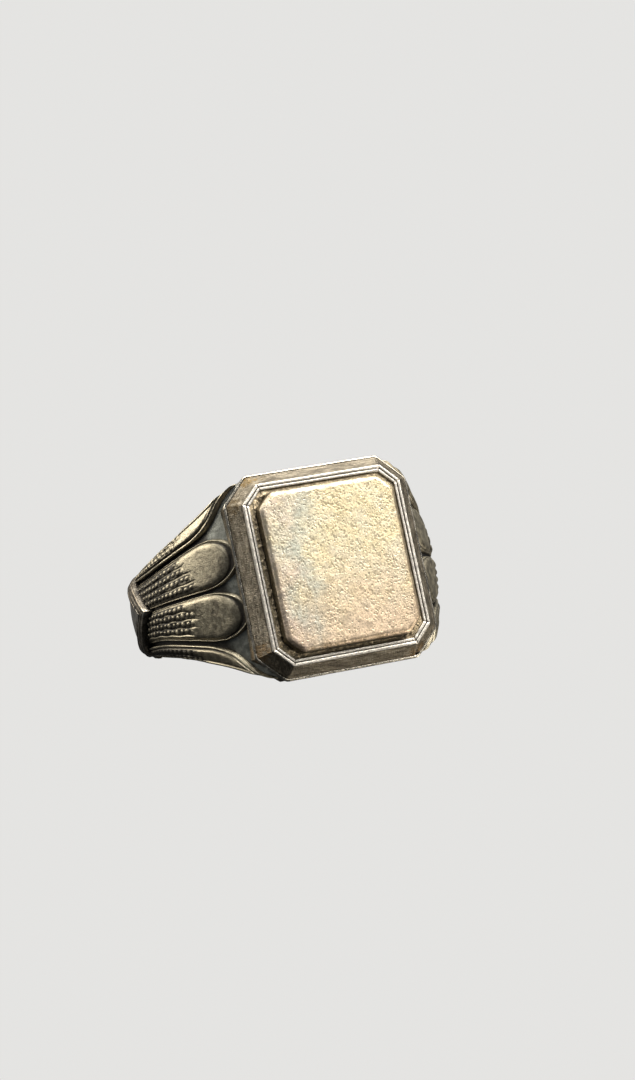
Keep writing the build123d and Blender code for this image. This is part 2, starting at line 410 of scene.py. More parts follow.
def bead_field(y, z, lower, upper, rows, seed):
    """What rows of beads add to a cushion's height, and how much each point is bead and is in a row."""
    dice = np.random.default_rng(seed)
    height = np.zeros_like(y)
    bead = np.zeros_like(y)
    stamped = np.zeros_like(y)
    width = np.maximum(upper(y) - lower(y), 0.2)
    across = (z - lower(y)) / width
    spacing = width * (rows[1][0] - rows[0][0])
    for row, (centre, end_y) in enumerate(rows):
        offset = (across - centre) * width + 0.03 * np.sin(y * 4 + row * 2 + seed)
        shift = dice.uniform(0, 1)
        number = np.floor(y / bead_pitch + shift)
        jitter = lattice(np.stack([number, number * 0 + row, number * 0 + seed], -1).astype(np.int64), 3)
        along = (y / bead_pitch + shift - number - 0.5 - 0.2 * (jitter - 0.5)) * bead_pitch
        size = 0.75 + 0.4 * jitter
        from_centre = np.hypot(along, offset) / (bead_radius * size)
        dome = np.sqrt(np.maximum(0, 1 - from_centre**2))
        inside = smooth_step(y, end_y - 0.35, end_y + 0.45)
        band = np.exp(-((offset / (0.5 * spacing)) ** 4))
        groove = np.exp(-(((offset - 0.5 * spacing) / groove_width) ** 2))
        height += inside * (bead_height * dome - row_depth * band - groove_depth * groove)
        bead += inside * dome
        stamped = np.maximum(stamped, inside * band)
    return height, bead, stamped


def petal(node, side, level, kind, seed):
    """One petal: a bordered leaf, a soft cushion on it, and rows of beads up to half its length."""
    shape = petal_shapes[kind]
    y, z = petal_grid(shape.lower, shape.upper)
    inward = edge_distance(y, z, shape.lower, shape.upper, tip_y)
    within = edge_distance(y, z, shape.cushion_lower, shape.cushion_upper, shape.cushion_tip)
    swell = np.clip(within / shape.slope, 0, 1)
    cushion = shape.rise * (1 - (1 - swell) ** 2.6) ** (1 / 1.5)
    border_at, border_reach, border_height = shape.border
    border = border_height * np.exp(-(((inward - border_at) / border_reach) ** 4))
    leaf = leaf_height * np.sqrt(np.clip(inward / leaf_edge, 0, 1))
    beads, bead, stamped = bead_field(
        y, z, shape.cushion_lower, shape.cushion_upper, bead_rows[kind, level], seed
    )
    on_cushion = smooth_step(within, 0.02, 0.14)
    side_view = np.stack([y, z * level, y * 0 + side], -1)
    uneven = 0.012 * lumps(side_view, 0.7, seed) + 0.006 * lumps(side_view, 0.18, seed + 1)
    lift = leaf + border + cushion + beads * on_cushion + uneven * smooth_step(inward, 0, 0.1)
    if kind == "side":
        lift = lift + 0.12 - 0.2 * fall(half_width_at(y) - z, 1.0)
    surface = on_shoulder(y, z, lift)
    foot_low = on_shoulder(y[:, :1], z[:, :1], shape.foot)
    foot_high = on_shoulder(y[:, -1:], z[:, -1:], shape.foot)
    loops = np.concatenate([foot_low, surface, foot_high], axis=1)
    loops[..., 0] *= -side
    loops[..., 2] *= level

    relief_and_painted_light = 0.42 + (0.32 * bead - 0.38 * stamped - 1.2 * np.maximum(0, -beads)) * on_cushion
    relief_and_painted_light += 5 * np.maximum(0, border - 0.03) + 0.12 * swell
    relief_and_painted_light -= 0.18 * smooth_step(y, -6.5, -2.0) * on_cushion
    # painted shade: the flat band between the leaf's border and the cushion is darkened as if shadowed; on
    # the side petals it is left out near the tip
    painted_valley_shade = (1 - smooth_step(within, 0, 0.1)) * smooth_step(inward, 0.16, 0.22)
    feet = "constant"  # the walls' feet are recesses
    if kind == "side":
        # painted light and shade: the side petals' cushions are made brighter on the upper petals and
        # darker on the lower ones, as the light falls from above
        relief_and_painted_light += (0.16 if level > 0 else -0.26) * on_cushion
        painted_valley_shade = painted_valley_shade * smooth_step(y, -9.2, -8.2)
        feet = "edge"  # the outer wall is the ring's edge, worn like the leaf above it
    relief_and_painted_light -= 0.4 * painted_valley_shade
    skin(node, loops, silver, np.pad(relief_and_painted_light, ((0, 0), (1, 1)), mode=feet))


# ---- Shoulders, straps and band ----

def shoulder(node, side):
    """The satin ground under one fan of petals, from its seam with the shank to the head."""
    seam_y = strap_front_y + strap_width / 2
    margin = 0.06  # the ground stops just short of the side petals' outer edge
    s = np.linspace(seam_y, head_end_y, 150)
    skew = smooth_step(s, skew_ends_y, seam_y)[:, None]
    v = 2 * crowded(121)[None, :] - 1
    z = v * half_width_at(seam_y)
    for _ in range(8):
        z = v * (half_width_at(s[:, None] + skew * np.abs(z)) - margin)
    y = s[:, None] + skew * np.abs(z)
    view = np.stack([y, z, y * 0 + side], -1)
    uneven = 0.014 * lumps(view, 0.9, 40) + 0.006 * lumps(view, 0.22, 41)
    lift = uneven - 0.14 * fall(half_width_at(y) - margin - np.abs(z), 0.2, 0.99)
    outer = on_shoulder(y, z, lift)
    inner = on_lining(y, z)[:, ::-1]
    inside_head = 0.4  # how far the ground runs on inside the head's wall
    inner[..., 0] = np.minimum(inner[..., 0], inside_head - (foot_outline[0] - foot_outline[2]))
    loops = np.concatenate([outer, inner], axis=1)
    loops[..., 0] *= -side
    # The ground is darkened where the petals on either side close in and stays light where the gap is wide:
    # oxide in the narrow gaps, and painted shade from the petals.
    near_middle = np.abs(z) < 1.5
    gap = np.where(near_middle, 2 * front_lower(y), side_inner_edge(y) - front_upper(y))
    wide_gap = 1.3
    light = smooth_step(np.where(y < tip_y, wide_gap, gap), 0.4, wide_gap)
    relief_and_painted_light = np.concatenate([(0.42 + 9 * uneven) * light, y * 0 + 0.2], axis=1)
    skin(node, loops, shaded_silver, relief_and_painted_light)


def strap(node, side):
    """The pointed strap: two soft reeds and a hollow between them, wrapped round the ring's sides."""
    profile = soften([
        (0, -0.3), (0, 0.55), (0.08, 0.74), (0.34, 0.78), (0.5, 0.7), (0.62, 0.66), (1.0, 0.73),
        (1.34, 0.68), (1.46, 0.62), (1.6, 0.68), (1.9, 0.66), (strap_width, 0.5), (strap_width, -0.3),
    ], 3)
    p, lift = profile[:, 0][None, :], profile[:, 1][None, :]
    end = half_width_at(strap_front_y + p)
    for _ in range(8):
        end = half_width_at(strap_front_y + p + end) + strap_overhang
    u = np.linspace(-1, 1, 161)[:, None]
    z = u * end
    point_rounding = 0.03
    y = strap_front_y + p + np.sqrt(z**2 + point_rounding**2)
    view = np.stack([y, z, y * 0 + side], -1)
    uneven = 0.02 * lumps(view, 0.8, 50) + 0.008 * lumps(view, 0.2, 51)
    outer = on_shoulder(y, z, lift + uneven - 0.5 * fall(end - np.abs(z), 1.5))
    outer[:, 0] = on_lining(y[:, 0], z[:, 0])
    outer[:, -1] = on_lining(y[:, -1], z[:, -1])
    outer[..., 0] *= -side
    relief_and_painted_light = np.clip((lift - 0.52) / 0.26, 0, 1) * 0.3 + 0.2 + 8 * uneven
    # painted highlight: a bright spot on the strap's point
    painted_point_highlight = np.exp(-((z / 0.3) ** 2)) * np.exp(-((p / 0.5) ** 2))
    relief_and_painted_light += 0.7 * painted_point_highlight
    skin(node, outer, strap_silver_tarnished_and_shaded, relief_and_painted_light)


def band_edge(half_width, inner, outer, rounding):
    """Cross-section (radius, z) of a band: straight inside, its edges rounded."""
    count = 7
    quarter = np.linspace(0, pi / 2, count)
    outer_edge = [(outer - rounding * (1 - cos(a)), half_width - rounding * (1 - sin(a))) for a in quarter]
    inner_edge = [(inner + rounding * (1 - sin(a)), half_width - rounding * (1 - cos(a))) for a in quarter]
    upper = outer_edge + inner_edge
    return np.array([(r, -z) for r, z in reversed(upper)] + upper)


def lining():
    """The full ring of thin strip inside, its edges rubbed round."""
    loops = []
    rounding = 0.11
    radius, unit_z = band_edge(1, lining_radius - lining_thickness, lining_radius, rounding).T
    inward = radius < lining_radius - lining_thickness + rounding / 2
    for angle in np.linspace(0, 2 * pi, 540, endpoint=False):
        y = radius * sin(angle)
        z = unit_z + np.sign(unit_z) * (half_width_at(np.maximum(y, head_end_y)) - 1)
        loops.append(np.stack([radius * cos(angle), y, z], -1))
    relief_and_painted_light = np.tile(np.where(inward, 0.75, 0.45), len(loops))
    skin("lining_band", loops, worn_silver, relief_and_painted_light, closed=True)


def shank():
    """The back of the band: soft D section outside, ending in a point under each strap."""
    v = np.linspace(-1, 1, 81)[None, :]
    end_y = strap_front_y + strap_width / 2 + 0.2
    end_lean = 3.65  # how far back each end's corners are from its point
    start = np.arcsin((end_y + np.abs(v) * end_lean - shank_centre_y) / shank_radius)
    angle = pi / 2 + np.linspace(-1, 1, 320)[:, None] * (pi / 2 - start)
    y = shank_centre_y + shank_radius * np.sin(angle)
    z = v * half_width_at(y)
    crown = 1 / shank_crown
    drop = crown - np.sqrt(crown**2 - z**2) + 0.24 * fall(half_width_at(y) - np.abs(z), 0.4, 0.99)
    view = np.stack([shank_radius * np.cos(angle) + 0 * v, y, z], -1)
    uneven = 0.012 * lumps(view, 1.3, 60) + 0.004 * lumps(view, 0.3, 61)
    reach = shank_radius - drop + uneven
    outer = np.stack([reach * np.cos(angle), shank_centre_y + reach * np.sin(angle), z], -1)
    flat = np.hypot(outer[..., 0], outer[..., 1])[..., None]
    inner = np.concatenate([outer[..., :2] / flat * hidden_radius, outer[..., 2:]], -1)[:, ::-1]
    loops = np.concatenate([outer, inner], axis=1)
    relief_and_painted_light = np.concatenate([0.5 + 14 * uneven, uneven * 0 + 0.2], axis=1)
    skin("shank", loops, worn_silver, relief_and_painted_light)


# ---- Signet head ----

def outward(points):
    """Unit directions away from the head's middle axis."""
    flat = points * (1, 0, 1)
    return flat / np.maximum(np.linalg.norm(flat, axis=-1, keepdims=True), 0.01)


def head_box():
    """The flared wall: eight mitred facets above the foot, plain sides saddled on the lining below."""
    rings = []
    for t in np.linspace(1, 0, 34):
        mixed = octagon(rim_outline) * t + octagon(foot_outline) * (1 - t)
        rings.append(at_depth(mixed, foot_depth + (seat_depth - foot_depth) * t))
    facets = len(rings)
    foot = octagon(foot_outline)
    inside = octagon(foot_outline, 1.2)
    saddle, saddle_inside = (np.sqrt(hidden_radius**2 - ring[:, 0] ** 2) for ring in (foot, inside))
    for t in (0.3, 0.7, 1):
        rings.append(at_depth(foot, foot_depth * (1 - t) + saddle * t))
    rings.append(at_depth(inside, saddle_inside))
    rings.append(at_depth(octagon(rim_outline, rim_width), seat_depth))
    rings = np.array(rings)
    wall = rings[:facets]
    height = np.linspace(1, 0, facets)[:, None]
    away = np.sin(height * pi)
    uneven = 0.03 * lumps(wall, 1.7, 70) + 0.011 * lumps(wall, 0.45, 71) + 0.004 * lumps(wall, 0.16, 72)
    mitre = distance_to_corners(wall, foot_outline)
    seam = 0.035 * np.exp(-((mitre / 0.05) ** 2))
    notch_x, notch_z = foot_outline[0] - foot_outline[2], -foot_outline[1]
    from_notch = np.hypot(wall[..., 0] - notch_x, (wall[..., 2] - notch_z) * 0.45)
    notch = 0.22 * np.exp(-((from_notch / 0.16) ** 2)) * smooth_step(height, 0.9, 0.2)
    push = uneven * smooth_step(away, 0, 0.5) - seam * away - notch
    rings[:facets] += outward(wall) * push[..., None]
    relief_and_painted_light = np.full(rings.shape[:2], 0.3)
    relief_and_painted_light[:facets] = 0.5 + 5 * uneven - 8 * seam * away - 3 * notch
    relief_and_painted_light[:facets] += 0.3 * np.exp(-((height / 0.05) ** 2)) * (0.6 + 0.4 * lumps(wall, 0.8, 73))
    skin("head_box", rings, facet_silver, relief_and_painted_light, closed=True)


def foot_wire():
    """The rounded wire round the foot of the wall, pressed in a little where it was soldered."""
    radius = wire_size / 2
    rings = []
    for angle in np.linspace(0, 2 * pi, 14, endpoint=False):
        ring = octagon(foot_outline, -radius + 0.05 - (radius - 0.01) * sin(angle), rounding=0.25)
        rings.append(at_depth(ring, foot_depth - radius + (radius - 0.01) * cos(angle)))
    rings = np.array(rings)
    uneven = 0.02 * lumps(rings, 0.9, 80)[..., None]
    rings += outward(rings) * np.minimum(uneven, 0)
    relief_and_painted_light = 0.75 + 0.25 * lumps(rings, 1.2, 81)
    skin("foot_wire", rings, worn_silver, relief_and_painted_light, closed=True)


def bezel_rim():
    """The reeded frame: a tall outer bead, a fine groove and a lower inner land, mitred."""
    top = rim_depth
    outer_wall = [(0.02, seat_depth - 0.1), (0, seat_depth + 0.02), (0, top - 0.09)]
    bead = [(0.02, top - 0.02), (0.06, top), (0.2, top - 0.004), (0.245, top - 0.03)]
    groove = [(0.262, top - 0.11), (0.285, top - 0.11)]
    land = [(0.3, top - 0.05), (0.33, top - 0.035), (0.47, top - 0.04), (0.505, top - 0.07)]
    inner_wall = [(rim_width, top - 0.14), (rim_width, floor_depth - 0.12)]
    profile = soften(outer_wall + bead + groove + land + inner_wall, 2)
    rings = [at_depth(octagon(rim_outline, inset, 0.03, 170, 30), depth) for inset, depth in profile]
    rings = np.array(rings)
    mitre = distance_to_corners(rings, rim_outline)
    seam = np.exp(-((mitre / 0.035) ** 2))
    uneven = 0.009 * lumps(rings, 0.8, 90) + 0.004 * lumps(rings, 0.2, 91)
    crest = smooth_step(profile[:, 1], top - 0.25, top - 0.05)[:, None]
    rings[..., 1] += crest * (0.03 * seam - np.minimum(uneven, 0.004))
    relief_and_painted_light = np.clip((profile[:, 1] - (top - 0.2)) / 0.12, 0, 1)[:, None] - 0.6 * seam + 12 * uneven
    skin("bezel_rim", rings, bright_silver, relief_and_painted_light, closed=True)


def tray():
    """The channel's floor, crusted with old solder and polish beside the plate and in its corners."""
    crust_middle = 0.86
    insets = np.linspace(rim_width - 0.04, 1.15, 26)

    def ring(inset, depth):
        return at_depth(octagon(rim_outline, inset, 0.03, 260, 44), depth)

    floor = np.array([ring(inset, floor_depth) for inset in insets])
    beside = np.exp(-(((insets - crust_middle) / 0.16) ** 2))[:, None]
    corner = np.exp(-((distance_to_corners(floor, rim_outline) / 0.9) ** 2))
    coarse = np.maximum(0, lumps(floor, 0.28, 100) + 0.35)
    fine = np.maximum(0, lumps(floor, 0.12, 101))
    height = (coarse * 0.6 + fine * 0.4) * (0.05 + 0.22 * beside * (0.35 + 0.65 * corner))
    floor[..., 1] -= height
    back = [ring(inset, -tray_high[1]) for inset in (insets[-1], insets[0])]
    rings = np.concatenate([floor, back])
    relief_and_painted_light = np.concatenate([0.25 + 2.2 * height, np.zeros((2, floor.shape[1]))])
    skin("tray", rings, crusted_silver_with_painted_light, relief_and_painted_light, closed=True)


def signet_plate():
    """The gilt slab: steep sides, a worn bevel, and a flat top like fine orange peel."""
    bevel = 0.32
    side = [(0, floor_depth), (0, floor_depth + 0.4), (0, plate_depth - bevel)]
    top = [(bevel * 0.45, plate_depth - 0.1), (bevel, plate_depth), (bevel + 0.3, plate_depth)]
    profile = soften(side + top, 3)
    size = dict(rounding=0.3, side_points=190, cut_points=26, bend_points=12)
    rings = [at_depth(octagon(plate_outline, inset, **size), depth) for inset, depth in profile]
    last = octagon(plate_outline, profile[-1][0], **size)
    for scale in np.linspace(1, 0.01, 96)[1:]:
        rings.append(at_depth(last * scale, plate_depth))
    rings = np.array(rings)
    depth = -rings[..., 1]
    on_top = smooth_step(depth, plate_depth - bevel, plate_depth - 0.02)
    peel = 0.005 * lumps(rings, 0.33, 110) + 0.003 * lumps(rings, 0.15, 111) + 0.01 * lumps(rings, 2.4, 112)
    most_peel = 0.021  # keeps every point under the plate's full height
    rings[..., 1] += on_top * (peel + most_peel)
    steep = 1 - smooth_step(depth, plate_depth - bevel - 0.1, plate_depth - bevel + 0.1)
    steep = steep * smooth_step(depth, floor_depth, floor_depth + 0.2)
    dents = np.minimum(0, lumps(rings, 0.22, 113)) * 0.035 * steep
    rings += outward(rings) * dents[..., None]
    skin("signet_plate", rings, gilt, 0.15 + 0.75 * on_top + 3 * dents)


# ---- Materials ----

class Shader:
    """A material's node tree, with short ways to add nodes and join them."""

    def __init__(self, name):
        self.material = bpy.data.materials.new(name)
        self.material.use_nodes = True
        self.tree = self.material.node_tree
        self.surface = self.tree.nodes["Principled BSDF"]
        coordinates = self.add("ShaderNodeTexCoord")
        scaled = self.add("ShaderNodeVectorMath", operation="SCALE")
        scaled.inputs["Scale"].default_value = 1 / MM
        self.join(coordinates.outputs["Object"], scaled.inputs[0])
        self.place = scaled.outputs[0]  # position in millimetres
        self.normal = coordinates.outputs["Normal"]

    def add(self, kind, **settings):
        made = self.tree.nodes.new(kind)
        for key, value in settings.items():
            setattr(made, key, value)
        return made

    def join(self, source, target):
        self.tree.links.new(source, target)

    def put(self, value, target):
        """Sets an input from a number, a colour or another node's output."""
        if isinstance(value, bpy.types.NodeSocket):
            self.join(value, target)
        else:
            target.default_value = value

    def noise(self, size, detail=2.0, roughness=0.5, stretch=(1, 1, 1), turn=(0, 0, 0)):
        """Noise from 0 to 1 with features about size millimetres across."""
        mapping = self.add("ShaderNodeMapping")
        mapping.inputs["Scale"].default_value = stretch
        mapping.inputs["Rotation"].default_value = turn
        self.join(self.place, mapping.inputs["Vector"])
        made = self.add("ShaderNodeTexNoise")
        self.join(mapping.outputs[0], made.inputs["Vector"])
        made.inputs["Scale"].default_value = 1 / size
        made.inputs["Detail"].default_value = detail
        made.inputs["Roughness"].default_value = roughness
        return made.outputs["Fac"]

    def ramp(self, value, low, high, out_low=0.0, out_high=1.0):
        """Takes value from low..high to out_low..out_high, clamped."""
        made = self.add("ShaderNodeMapRange", interpolation_type="SMOOTHSTEP")
        self.put(value, made.inputs["Value"])
        ends = {"From Min": low, "From Max": high, "To Min": out_low, "To Max": out_high}
        for label, end in ends.items():
            self.put(end, made.inputs[label])
        return made.outputs["Result"]

    def math(self, operation, first, second=0.0):
        """One arithmetic step, named as Blender names it."""
        made = self.add("ShaderNodeMath", operation=operation)
        self.put(first, made.inputs[0])
        self.put(second, made.inputs[1])
        return made.outputs[0]

    def mix(self, amount, first, second, blend="MIX"):
        """Mixes two colours."""
        made = self.add("ShaderNodeMix", data_type="RGBA", blend_type=blend)
        self.put(amount, made.inputs[0])
        self.put(first, made.inputs[6])
        self.put(second, made.inputs[7])
        return made.outputs[2]

    def relief_and_painted_light(self):
        made = self.add("ShaderNodeAttribute", attribute_name="relief_and_painted_light")
        return made.outputs["Fac"]

    def shelter(self, distance):
        """0 in a recess, 1 in the open, looking distance millimetres around."""
        made = self.add("ShaderNodeAmbientOcclusion", samples=6)
        made.inputs["Distance"].default_value = distance * MM
        return made.outputs["AO"]

    def bump(self, *layers):
        """Fine surface bumps: (height output, depth in millimetres) pairs."""
        normal = None
        for height, depth in layers:
            made = self.add("ShaderNodeBump")
            made.inputs["Distance"].default_value = depth * MM
            self.join(height, made.inputs["Height"])
            if normal:
                self.join(normal, made.inputs["Normal"])
            normal = made.outputs["Normal"]
        self.join(normal, self.surface.inputs["Normal"])


def rgb(red, green, blue):
    return (red, green, blue, 1.0)


oxide = rgb(0.022, 0.019, 0.016)
tarnish = rgb(0.17, 0.145, 0.11)


def streaked(shader, metal, bright, share):
    """Metal marked with light and dark streaks, along X or, on faces turned to the side, along Z."""
    along_x = shader.noise(0.3, 4, 0.8, stretch=(0.2, 1, 1))
    along_z = shader.noise(0.3, 4, 0.8, stretch=(1, 1, 0.2))
    facing = shader.add("ShaderNodeSeparateXYZ")
    shader.join(shader.normal, facing.inputs[0])
    sideways = shader.math("ABSOLUTE", facing.outputs["X"])
    streak = shader.ramp(sideways, 0.3, 0.6, along_x, along_z)
    pale_streak = shader.ramp(streak, 0.5, 0.62, 0, share)
    dark_streak = shader.ramp(streak, 0.36, 0.48, share, 0)
    return shader.mix(dark_streak, shader.mix(pale_streak, metal, bright), tarnish)


def stained(shader, metal, place, reach, colour, wobble):
    """Metal discoloured in a patch round a place, its edge made uneven by the wobble."""
    gap = shader.add("ShaderNodeVectorMath", operation="DISTANCE")
    shader.join(shader.place, gap.inputs[0])
    gap.inputs[1].default_value = place
    uneven = shader.ramp(wobble, 0.3, 0.7, -0.3 * reach, 0.5 * reach)
    edge = shader.math("ADD", gap.outputs["Value"], uneven)
    return shader.mix(shader.ramp(edge, reach, 0.4 * reach, 0, 0.85), metal, colour)


def aged_silver(name, base, bright, roughness=(0.34, 0.5), oxide_share=1.0, scratch=0.004, brown=0.35,
                gritty=0.6, streaks=0.0, stains=()):
    """Tarnished silver: black in its recesses, brown-grey in the open, bright where it is rubbed; some
    pieces also set painted highlights and painted shade through their relief attribute.

    gritty says how dark its fine grain is, and streaks how strongly it is streaked along X and Z.
    stains holds (place, reach in millimetres, colour) for each patch of discoloured metal."""
    shader = Shader(name)
    relief_and_painted_light = shader.relief_and_painted_light()
    patches = shader.noise(1.6, 4, 0.6)
    blotches = shader.noise(0.45, 3, 0.6)
    spots = shader.noise(0.2, 3, 0.7)
    grain = shader.noise(0.1, 3, 0.7)

    browned = shader.mix(shader.ramp(patches, 0.42, 0.68, 0, brown), base, tarnish)
    mottled = shader.mix(shader.ramp(blotches, 0.35, 0.7, 0, 0.45), browned, bright)
    uneven_rub = shader.ramp(blotches, 0.25, 0.6, 0.55, 1)
    rubbed = shader.math("MULTIPLY", shader.ramp(relief_and_painted_light, 0.55, 0.95), uneven_rub)
    worn = shader.mix(rubbed, mottled, bright)
    if streaks:
        worn = streaked(shader, worn, bright, streaks)
    for place, reach, colour in stains:
        worn = stained(shader, worn, place, reach, colour, blotches)
    spotted = shader.mix(shader.ramp(spots, 0.5, 0.62, 0, 0.4), worn, bright)
    lit = shader.mix(shader.ramp(grain, 0.4, 0.62, 0, gritty), spotted, shader.mix(0.6, worn, oxide))

    open_air = shader.ramp(shader.shelter(0.45), 0.35, 0.95)
    clean = shader.math("MULTIPLY", open_air, shader.ramp(relief_and_painted_light, 0.02, 0.36, 0.08, 1))
    if oxide_share < 1:
        clean = shader.math("MAXIMUM", clean, 1 - oxide_share)
    shader.put(shader.mix(clean, oxide, lit), shader.surface.inputs["Base Color"])
    shader.put(shader.ramp(clean, 0, 0.7, 0.55, 1), shader.surface.inputs["Metallic"])
    matt = shader.ramp(blotches, 0.3, 0.7, *roughness)
    polish = shader.ramp(rubbed, 0, 1, 0, 0.12)
    shader.put(shader.math("SUBTRACT", matt, polish), shader.surface.inputs["Roughness"])
    strokes = shader.noise(0.05, 2, 0.5, stretch=(0.12, 0.12, 1.0), turn=(0.3, 0.2, 0.5))
    crossing = shader.noise(0.06, 2, 0.5, stretch=(1.0, 0.1, 0.14), turn=(0.9, 0.1, -0.4))
    shader.bump((strokes, scratch), (crossing, scratch * 0.7), (grain, 0.006), (blotches, 0.02))
    return shader.material


def gilt_metal(low, high):
    """Worn gilding, pale gold to pink, tinted blue and lilac to the left, and pitted all over."""
    shader = Shader("worn_gilt")
    relief_and_painted_light = shader.relief_and_painted_light()
    parts = shader.add("ShaderNodeSeparateXYZ")
    wobble = shader.noise(2.2, 3, 0.55)
    shader.join(shader.place, parts.inputs[0])
    shift = shader.ramp(wobble, 0.2, 0.8, -1.6, 1.6)
    across = shader.math("ADD", parts.outputs["X"], shift)
    upward = shader.math("ADD", parts.outputs["Z"], shift)
    width, height = high[0] - low[0], high[2] - low[2]

    def band(value, centre, reach):
        """1 at centre, fading to 0 a reach away."""
        gap = shader.math("ABSOLUTE", shader.math("SUBTRACT", value, centre))
        return shader.ramp(gap, reach, 0, 0, 1)

    cream = rgb(0.87, 0.78, 0.58)
    gold = rgb(0.86, 0.73, 0.46)
    pink = rgb(0.86, 0.66, 0.48)
    lilac = rgb(0.70, 0.58, 0.52)
    blue = rgb(0.55, 0.61, 0.54)
    brown_stain = rgb(0.55, 0.44, 0.26)
    pit_brown = rgb(0.14, 0.1, 0.05)
    edge_brown = rgb(0.3, 0.22, 0.13)
    dark_olive, light_olive = rgb(0.05, 0.042, 0.028), rgb(0.22, 0.18, 0.11)
    colour = shader.mix(shader.ramp(shader.noise(1.3, 4, 0.6), 0.35, 0.65, 0, 0.8), cream, gold)
    lower = shader.ramp(upward, height * 0.2, -height * 0.5, 0, 0.8)
    colour = shader.mix(lower, colour, pink)
    patchy = shader.ramp(shader.noise(1.2, 4, 0.7), 0.3, 0.7, 0.2, 1)
    to_lilac = shader.math("MULTIPLY", band(across, low[0] + width * 0.04, width * 0.3), 0.75)
    colour = shader.mix(shader.math("MULTIPLY", to_lilac, patchy), colour, lilac)
    to_blue = shader.math("MULTIPLY", band(across, low[0] + width * 0.2, width * 0.2), 0.7)
    colour = shader.mix(shader.math("MULTIPLY", to_blue, patchy), colour, blue)
    stain = shader.ramp(shader.noise(0.8, 4, 0.7), 0.55, 0.8, 0, 0.35)
    colour = shader.mix(stain, colour, brown_stain)

    pits = shader.add("ShaderNodeTexVoronoi", feature="F1")
    shader.join(shader.place, pits.inputs["Vector"])
    pits.inputs["Scale"].default_value = 1 / 0.21
    crowd = shader.ramp(shader.noise(1.1, 3, 0.6), 0.35, 0.65, 0.25, 0.5)
    size = shader.math("MULTIPLY", crowd, shader.ramp(shader.noise(0.25, 2), 0.3, 0.7, 0.3, 1.4))
    pit = shader.ramp(shader.math("DIVIDE", pits.outputs["Distance"], size), 0.6, 1.2, 1, 0)
    speck = shader.ramp(shader.noise(0.13, 2, 0.7), 0.48, 0.66, 0, 0.5)
    marks = shader.math("MAXIMUM", shader.math("MULTIPLY", pit, 0.55), speck)
    colour = shader.mix(marks, colour, pit_brown)

    edge_x = shader.ramp(parts.outputs["X"], high[0] - 0.75, high[0] - 0.15)
    edge_z = shader.ramp(shader.math("ABSOLUTE", parts.outputs["Z"]), high[2] - 0.75, high[2] - 0.15)
    grime = shader.ramp(shader.noise(0.7, 4, 0.7), 0.35, 0.65, 0.1, 0.75)
    grubby = shader.math("MULTIPLY", shader.math("MAXIMUM", edge_x, edge_z), grime)
    colour = shader.mix(grubby, colour, edge_brown)
    # painted shade: the plate's steep sides take a dark olive, for side walls in shadow; its blotches stand
    # for tarnish
    olive = shader.mix(shader.noise(0.3, 3, 0.7), dark_olive, light_olive)
    colour = shader.mix(shader.ramp(relief_and_painted_light, 0.16, 0.4, 0, 1), olive, colour)
    open_air = shader.ramp(shader.shelter(0.5), 0.3, 0.9)
    shader.put(shader.mix(open_air, oxide, colour), shader.surface.inputs["Base Color"])
    shader.put(shader.ramp(marks, 0, 0.6, 1.0, 0.6), shader.surface.inputs["Metallic"])
    shader.put(shader.ramp(shader.noise(0.5, 3), 0.3, 0.7, 0.36, 0.5), shader.surface.inputs["Roughness"])
    grain = shader.noise(0.05, 2, 0.6)
    shader.bump((pit, -0.008), (grain, 0.008), (shader.noise(0.17, 2, 0.5), 0.014))
    return shader.material


silver = aged_silver("petal_silver", rgb(0.38, 0.34, 0.25), rgb(0.74, 0.67, 0.5), (0.38, 0.52),
                     scratch=0.012, brown=0.5)
shaded_silver = aged_silver("ground_silver", rgb(0.28, 0.29, 0.26), rgb(0.52, 0.54, 0.5), (0.4, 0.55),
                            brown=0.15)
# The strap's silver has a very dark brown base: brown tarnish, darkened further as painted shade for a
# strap that faces away from the light.
strap_silver_tarnished_and_shaded = aged_silver("strap_silver_tarnished_and_shaded", rgb(0.13, 0.105, 0.075), rgb(0.6, 0.55, 0.46), brown=0.6)
worn_silver = aged_silver("worn_silver", rgb(0.42, 0.38, 0.31), rgb(0.7, 0.65, 0.55), (0.26, 0.4),
                          oxide_share=0.8, brown=0.3, gritty=0.2)
bright_silver = aged_silver("bright_silver", rgb(0.78, 0.72, 0.62), rgb(0.92, 0.87, 0.78), (0.5, 0.6),
                            brown=0.15)
# painted light: the crust's colour is made pale and its oxide mostly left out, to stand in for light that
# the plate keeps from the channel
crusted_silver_with_painted_light = aged_silver("crusted_silver_with_painted_light", rgb(0.76, 0.63, 0.43), rgb(0.9, 0.78, 0.57), (0.6, 0.75),
                             oxide_share=0.15)

wall_x, wall_z, wall_cut = foot_outline
facet_stains = [
    ((wall_cut - wall_x, -foot_depth, wall_z), 1.3, rgb(0.3, 0.2, 0.075)),
    ((-wall_x, -foot_depth, wall_z - wall_cut), 1.3, rgb(0.17, 0.13, 0.075)),
    ((-wall_x, -foot_depth, wall_cut - wall_z), 1.5, rgb(0.36, 0.25, 0.14)),
    ((wall_x - wall_cut, -foot_depth, -wall_z), 1.2, rgb(0.3, 0.2, 0.1)),
]
facet_silver = aged_silver("facet_silver", rgb(0.22, 0.19, 0.14), rgb(0.5, 0.44, 0.34), (0.4, 0.56),
                           scratch=0.04, brown=0.6, streaks=0.9, stains=facet_stains)
gilt = gilt_metal(plate_low, plate_high)


# ---- Pieces ----

head_box()
foot_wire()
bezel_rim()
tray()
signet_plate()
lining()
shank()
for side, side_name in ((-1, "left"), (1, "right")):
    shoulder(f"{side_name}_shoulder", side)
    strap(f"{side_name}_strap", side)
    for level, level_name in ((1, "upper"), (-1, "lower")):
        for kind in ("front", "side"):
            seed = 10 + (side + 1) * 4 + (level + 1) * 2 + (kind == "side")
            petal(f"{side_name}_{level_name}_{kind}_petal", side, level, kind, seed)


# ---- Stage, light and camera ----

pale = rgb(0.78, 0.775, 0.76)


